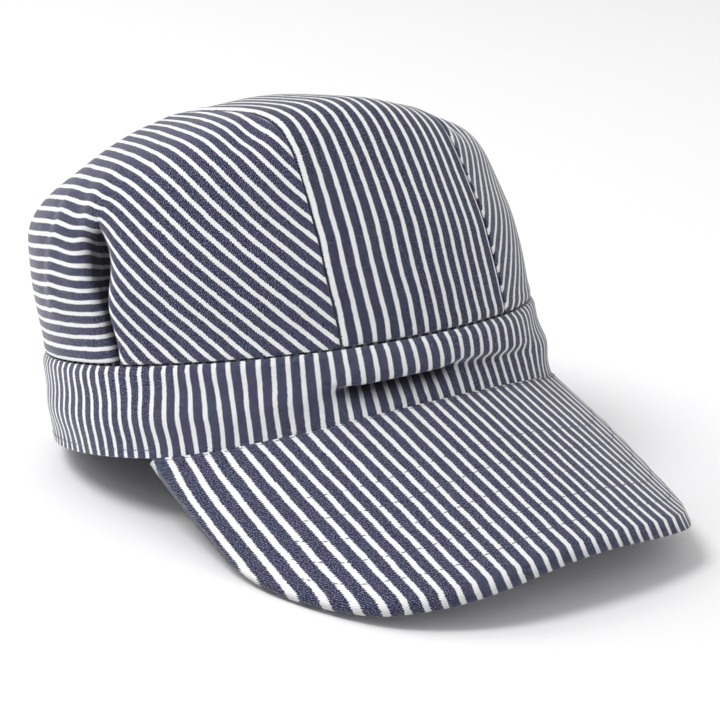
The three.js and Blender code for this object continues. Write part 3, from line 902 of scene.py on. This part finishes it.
# Stitches
def stitch_tree():
    """Geometry nodes that lay stitches along a path: short rounded threads with gaps."""
    tree = bpy.data.node_groups.new("run_of_stitches", "GeometryNodeTree")
    face = tree.interface
    for name, kind in (("Path", "Geometry"), ("Spacing", "Float"), ("Length", "Float"),
                       ("Thickness", "Float"), ("Thread", "Material")):
        face.new_socket(name, in_out="INPUT", socket_type="NodeSocket" + kind)
    face.new_socket("Stitches", in_out="OUTPUT", socket_type="NodeSocketGeometry")
    nodes = tree.nodes
    source = nodes.new("NodeGroupInput")
    result = nodes.new("NodeGroupOutput")
    spaced = nodes.new("GeometryNodeResampleCurve")
    spaced.mode = "LENGTH"
    stitch = nodes.new("GeometryNodeMeshUVSphere")
    for name, value in (("Segments", 6), ("Rings", 5), ("Radius", 0.5)):
        stitch.inputs[name].default_value = value
    place = nodes.new("GeometryNodeInstanceOnPoints")
    way = nodes.new("GeometryNodeInputTangent")
    turn = nodes.new("FunctionNodeAlignEulerToVector")
    turn.axis = "Z"
    size = nodes.new("ShaderNodeCombineXYZ")
    real = nodes.new("GeometryNodeRealizeInstances")
    even = nodes.new("GeometryNodeSetShadeSmooth")
    dressed = nodes.new("GeometryNodeSetMaterial")
    for start, given, end, taken in (
        (source, "Path", spaced, "Curve"),
        (source, "Spacing", spaced, "Length"),
        (spaced, "Curve", place, "Points"),
        (stitch, "Mesh", place, "Instance"),
        (way, "Tangent", turn, "Vector"),
        (turn, "Rotation", place, "Rotation"),
        (source, "Thickness", size, "X"),
        (source, "Thickness", size, "Y"),
        (source, "Length", size, "Z"),
        (size, "Vector", place, "Scale"),
        (place, "Instances", real, "Geometry"),
        (real, "Geometry", even, "Geometry"),
        (even, "Geometry", dressed, "Geometry"),
        (source, "Thread", dressed, "Material"),
        (dressed, "Geometry", result, "Stitches"),
    ):
        tree.links.new(start.outputs[given], end.inputs[taken])
    return tree


def stitches(name, paths, spacing, length, thread, tree):
    """Stitches along paths given in millimetres, as one plain mesh."""
    curve = bpy.data.curves.new(name, "CURVE")
    curve.dimensions = "3D"
    for points in paths:
        places = rested(np.array(points))
        spline = curve.splines.new("POLY")
        spline.points.add(len(places) - 1)
        spline.points.foreach_set("co", np.c_[places, np.ones(len(places))].ravel())
    path = bpy.data.objects.new(name + "_path", curve)
    bpy.context.scene.collection.objects.link(path)
    run = path.modifiers.new("stitches", "NODES")
    run.node_group = tree
    sizes = {"Spacing": spacing * MM, "Length": length * MM,
             "Thickness": THREAD * MM, "Thread": thread}
    for socket in tree.interface.items_tree:
        if socket.in_out == "INPUT" and socket.name in sizes:
            run[socket.identifier] = sizes[socket.name]
    depsgraph = bpy.context.evaluated_depsgraph_get()
    mesh = bpy.data.meshes.new_from_object(path.evaluated_get(depsgraph))
    mesh.name = name
    bpy.data.objects.remove(path)
    piece = bpy.data.objects.new(name, mesh)
    bpy.context.scene.collection.objects.link(piece)
    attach(piece, "root")
    return piece


def seams(thread, tree):
    """All runs of stitches: the hem's free part, the visor's seam and the visor's rows."""
    points, _, _ = band_surface()
    angles = np.linspace(math.pi, -math.pi, points.shape[1])
    hem = on_circle(seam_radius(angles) + 0.1, angles, seam_height(angles) + HEM_STITCH)
    free = np.abs(np.degrees(angles)) > VISOR_ANGLE - 4
    right = hem[free & (angles > 0)]
    left = hem[free & (angles < 0)]
    stitches("hem_stitches", [right, left], HEM_SPACING, HEM_LENGTH, thread, tree)
    span = np.radians(np.linspace(-VISOR_ANGLE + 2, VISOR_NEAR_START - 1, 160))
    outline = outline_reach(span)
    rows = []
    root = visor_point(span, np.full(span.shape, 1.2))
    root[:, 2] += 0.12
    rows.append(root)
    half = float(visor_arch(math.radians(VISOR_ANGLE)))
    aside = half - visor_arch(span)
    for inset in VISOR_STITCH_ROWS:
        reach = outline - inset
        keep = (reach > 5) & (aside > 7 + 0.35 * inset)
        row = visor_point(span[keep], reach[keep])
        row[:, 2] += 0.05
        rows.append(row)
    stitches("visor_stitches", rows, VISOR_SPACING, VISOR_STITCH_LENGTH, thread, tree)


# Materials
class Shades:
    """Short forms for building a tree of shader nodes."""

    def __init__(self, tree):
        self.tree = tree

    def node(self, kind, **settings):
        made = self.tree.nodes.new(kind)
        for key, value in settings.items():
            setattr(made, key, value)
        return made

    def feed(self, socket, value):
        if isinstance(value, bpy.types.NodeSocket):
            self.tree.links.new(value, socket)
        else:
            socket.default_value = value

    def math(self, operation, *values, clamp=False):
        made = self.node("ShaderNodeMath", operation=operation, use_clamp=clamp)
        for socket, value in zip(made.inputs, values):
            self.feed(socket, value)
        return made.outputs[0]

    def ramp(self, value, low, high, to_low=0.0, to_high=1.0):
        made = self.node("ShaderNodeMapRange", interpolation_type="SMOOTHSTEP")
        for name, given in (("Value", value), ("From Min", low), ("From Max", high),
                            ("To Min", to_low), ("To Max", to_high)):
            self.feed(made.inputs[name], given)
        return made.outputs["Result"]

    def mix(self, share, a, b, blend="MIX"):
        made = self.node("ShaderNodeMix", data_type="RGBA", blend_type=blend)
        colours = [socket for socket in made.inputs if socket.type == "RGBA"]
        self.feed(made.inputs[0], share)
        self.feed(colours[0], a)
        self.feed(colours[1], b)
        return next(socket for socket in made.outputs if socket.type == "RGBA")

    def place(self, x, y, z=0.0):
        made = self.node("ShaderNodeCombineXYZ")
        for socket, value in zip(made.inputs, (x, y, z)):
            self.feed(socket, value)
        return made.outputs[0]

    def noise(self, vector, scale, detail=2.0, rough=0.5):
        made = self.node("ShaderNodeTexNoise", noise_dimensions="3D")
        self.feed(made.inputs["Vector"], vector)
        self.feed(made.inputs["Scale"], scale)
        self.feed(made.inputs["Detail"], detail)
        self.feed(made.inputs["Roughness"], rough)
        return made.outputs["Fac"]


def denim_group():
    """Striped twill over cloth coordinates in millimetres. The white stripes run along the
    cloth, and the weave shows as fine slanting flecks of the light cross threads. Deep in a
    fold the colour is darkened by painted shadow."""
    tree = bpy.data.node_groups.new("striped_twill", "ShaderNodeTree")
    face = tree.interface
    for name, kind in (("Cloth", "Vector"), ("Pitch", "Float"), ("White", "Float"),
                       ("Thread", "Float"), ("Blue", "Color"), ("Light", "Color"),
                       ("Fleck", "Float"), ("Depth", "Float")):
        face.new_socket(name, in_out="INPUT", socket_type="NodeSocket" + kind)
    for name, kind in (("Colour", "Color"), ("Roughness", "Float"), ("Height", "Float")):
        face.new_socket(name, in_out="OUTPUT", socket_type="NodeSocket" + kind)
    make = Shades(tree)
    given = make.node("NodeGroupInput").outputs
    result = make.node("NodeGroupOutput").inputs
    parts = make.node("ShaderNodeSeparateXYZ")
    make.feed(parts.inputs[0], given["Cloth"])
    across, along = parts.outputs["X"], parts.outputs["Y"]

    # White stripes that sway a little and have edges stepped by the weave
    sway = make.math("SUBTRACT", make.noise(make.place(across, along), 0.11, 1.0), 0.5)
    across_swayed = make.math("MULTIPLY_ADD", sway, 0.7, across)
    edge_place = make.place(make.math("MULTIPLY", across, 0.6), along, 7.0)
    edge_noise = make.noise(edge_place, 1.9, 1.0, 0.5)
    ragged = make.math("MULTIPLY", make.math("SUBTRACT", edge_noise, 0.5), 0.75)
    steps = make.math("MULTIPLY_ADD", across, 0.35, make.math("MULTIPLY", along, 0.95))
    steps = make.math("SUBTRACT", make.math("FRACT", steps), 0.5)
    steps = make.math("SUBTRACT", make.math("ABSOLUTE", steps), 0.25)
    ragged = make.math("ADD", ragged, make.math("MULTIPLY", steps, 0.55))
    turns = make.math("DIVIDE", across_swayed, given["Pitch"])
    centred = make.math("SUBTRACT", make.math("FRACT", make.math("ADD", turns, 0.5)), 0.5)
    apart = make.math("MULTIPLY", make.math("ABSOLUTE", centred), given["Pitch"])
    apart = make.math("ADD", apart, ragged)
    half = make.math("MULTIPLY", given["White"], 0.5)
    white = make.ramp(apart, make.math("ADD", half, 0.12), make.math("SUBTRACT", half, 0.12))

    # Flecks where the light cross threads show between the blue ones
    slant = make.math("DIVIDE", make.math("MULTIPLY_ADD", along, 0.62, across), given["Thread"])
    strayed = make.math("MULTIPLY", make.noise(make.place(across, along, 31.0), 0.9, 2.0), 1.6)
    slant = make.math("ADD", slant, strayed)
    line = make.math("ABSOLUTE", make.math("SUBTRACT", make.math("FRACT", slant), 0.5))
    line = make.math("MULTIPLY", line, 2.0)
    grain = make.noise(make.place(make.math("MULTIPLY", across, 1.3), along), 2.2, 2.0, 0.75)
    weave = make.math("MULTIPLY_ADD", line, 0.22, make.math("MULTIPLY", grain, 1.3))
    fleck = make.ramp(weave, 0.77, 0.95)
    fleck = make.math("MULTIPLY", fleck, given["Fleck"])

    # Blue that drifts between teal, violet and duller patches
    wide = make.math("MULTIPLY", across, 1.6)
    patch = make.noise(make.place(wide, make.math("MULTIPLY", along, 0.55), 3.0), 0.16, 3.0, 0.6)
    hue = make.noise(make.place(across, make.math("MULTIPLY", along, 0.4), 19.0), 0.21, 2.0, 0.55)
    teal = make.mix(1.0, given["Blue"], TEAL_CAST, "MULTIPLY")
    violet = make.mix(1.0, given["Blue"], VIOLET_CAST, "MULTIPLY")
    blue = make.mix(make.ramp(hue, 0.38, 0.62), teal, violet)
    dull = make.mix(1.0, given["Blue"], DULL_CAST, "MULTIPLY")
    blue = make.mix(make.ramp(patch, 0.52, 0.70, 0.0, 0.75), blue, dull)
    blue = make.mix(fleck, blue, CROSS_THREAD)
    light = make.mix(make.ramp(weave, 0.95, 0.35, 0.0, 0.30), given["Light"], LIGHT_SHADE)

    # Stripes over blue, with shade painted darker deep in a fold
    cloth = make.mix(white, blue, light)
    shaded = make.mix(1.0, cloth, PAINTED_FOLD_SHADOW, "MULTIPLY")
    make.feed(result["Colour"], make.mix(given["Depth"], cloth, shaded))
    make.feed(result["Roughness"], make.math("MULTIPLY_ADD", white, -0.06, 0.92))
    height = make.math("MULTIPLY_ADD", weave, 0.5, make.math("MULTIPLY", white, 0.35))
    make.feed(result["Height"], height)
    return tree


def denim(name, group, blue, light, fleck):
    """A material of striped twill with its own colours and its own strength of flecks."""
    material = bpy.data.materials.new(name)
    material.use_nodes = True
    make = Shades(material.node_tree)
    shader = material.node_tree.nodes["Principled BSDF"]
    weave = make.node("ShaderNodeGroup", node_tree=group)
    cloth = make.node("ShaderNodeUVMap", uv_map="cloth")
    scale = make.node("ShaderNodeMapping")
    scale.inputs["Scale"].default_value = (1 / MM, 1 / MM, 1 / MM)
    make.feed(scale.inputs["Vector"], cloth.outputs["UV"])
    make.feed(weave.inputs["Cloth"], scale.outputs["Vector"])
    # Mask of painted shadow, stored on each piece by how deep in a fold it lies
    deep = make.node("ShaderNodeAttribute", attribute_name="painted_shadow_depth")
    make.feed(weave.inputs["Depth"], deep.outputs["Fac"])
    for key, value in (("Pitch", PITCH), ("White", WHITE), ("Thread", 0.8),
                       ("Blue", blue), ("Light", light), ("Fleck", fleck)):
        weave.inputs[key].default_value = value
    make.feed(shader.inputs["Base Color"], weave.outputs["Colour"])
    make.feed(shader.inputs["Roughness"], weave.outputs["Roughness"])
    raised = make.node("ShaderNodeBump")
    raised.inputs["Strength"].default_value = 0.55
    raised.inputs["Distance"].default_value = 0.25 * MM
    make.feed(raised.inputs["Height"], weave.outputs["Height"])
    make.feed(shader.inputs["Normal"], raised.outputs["Normal"])
    shader.inputs["Specular IOR Level"].default_value = 0.2
    shader.inputs["Sheen Weight"].default_value = 0.36
    shader.inputs["Sheen Roughness"].default_value = 0.38
    return material


def thread_material():
    material = bpy.data.materials.new("thread")
    material.use_nodes = True
    make = Shades(material.node_tree)
    shader = material.node_tree.nodes["Principled BSDF"]
    where = make.node("ShaderNodeTexCoord")
    twist = make.noise(where.outputs["Object"], 900.0, 2.0)
    colour = make.mix(twist, THREAD_DARK, THREAD_LIGHT)
    make.feed(shader.inputs["Base Color"], colour)
    shader.inputs["Roughness"].default_value = 0.7
    return material


# Setting
def setting():
    floor_mesh = bpy.data.meshes.new("floor")
    reach = 4.0
    corners = [(-reach, -reach, 0), (reach, -reach, 0), (reach, reach, 0), (-reach, reach, 0)]
    floor_mesh.from_pydata(corners, [], [(0, 1, 2, 3)])
    floor = bpy.data.objects.new("floor", floor_mesh)
    bpy.context.scene.collection.objects.link(floor)
    paper = bpy.data.materials.new("paper")
    paper.use_nodes = True
    shader = paper.node_tree.nodes["Principled BSDF"]
    shader.inputs["Base Color"].default_value = PAPER
    shader.inputs["Roughness"].default_value = 0.9
    floor_mesh.materials.append(paper)
    world = bpy.data.worlds.new("studio")
    world.use_nodes = True
    sky = world.node_tree.nodes["Background"]
    sky.inputs["Color"].default_value = (1.0, 1.0, 1.0, 1)
    sky.inputs["Strength"].default_value = SKY
    bpy.context.scene.world = world
    for name, place, size, power in LAMPS:
        lamp = bpy.data.lights.new(name, "AREA")
        lamp.shape = "DISK"
        lamp.size = size
        lamp.energy = power
        stand = bpy.data.objects.new(name, lamp)
        stand.location = place
        way = Vector(LAMP_AIM) - Vector(place)
        stand.rotation_euler = way.to_track_quat("-Z", "Y").to_euler()
        bpy.context.scene.collection.objects.link(stand)
    bpy.context.scene.view_settings.view_transform = "Standard"


def camera():
    """The photograph's view: turned and raised about the upright cap, then leaned with it."""
    turn, rise = math.radians(VIEW_TURN), math.radians(VIEW_RISE)
    level = math.cos(rise)
    back = Vector((math.sin(turn) * level, -math.cos(turn) * level, math.sin(rise)))
    right = Vector((math.cos(turn), math.sin(turn), 0))
    up = back.cross(right)
    lean = Matrix.Rotation(-math.radians(REST_LEAN - VIEW_LEAN), 3, "X")
    back, right, up = lean @ back, lean @ right, lean @ up
    centre = Vector(REST_PLACE) * MM
    eye = centre + back * VIEW_DISTANCE * MM
    aside = (FRAME / 2 - VIEW_CENTRE[0]) / VIEW_SCALE * MM
    above = (VIEW_CENTRE[1] - FRAME / 2) / VIEW_SCALE * MM
    aim = centre + right * aside + up * above
    forward = (aim - eye).normalized()
    side = forward.cross(up).normalized()
    head = side.cross(forward)
    lens = bpy.data.cameras.new("photograph")
    lens.sensor_fit = "HORIZONTAL"
    lens.sensor_width = 36.0
    lens.lens = lens.sensor_width * VIEW_SCALE * (aim - eye).length / MM / FRAME
    lens.clip_end = 50
    made = bpy.data.objects.new("photograph", lens)
    axes = Matrix((side, head, -forward)).transposed()
    made.matrix_world = Matrix.Translation(eye) @ axes.to_4x4()
    bpy.context.scene.collection.objects.link(made)
    bpy.context.scene.camera = made


def main():
    group = denim_group()
    face = denim("striped_denim", group, BLUE, LIGHT, FLECK)
    deep = denim("striped_denim_strip", group, STRIP_BLUE, LIGHT, STRIP_FLECK)
    wrong = denim("denim_wrong_side", group, WRONG_BLUE, WRONG_LIGHT, WRONG_FLECK)
    both = [face, wrong]
    stands_for(headband(both), "band")
    stands_for(crown_strip([deep, wrong]), "crown_strip")
    cloth = panel_cloth()
    stands_for(side_panel("panel_cloth_right", 1, cloth, both), "side_panel_right")
    stands_for(side_panel("panel_cloth_left", -1, cloth, both), "side_panel_left")
    stands_for(visor([face]), "visor")
    seams(thread_material(), stitch_tree())
    setting()
    camera()


main()
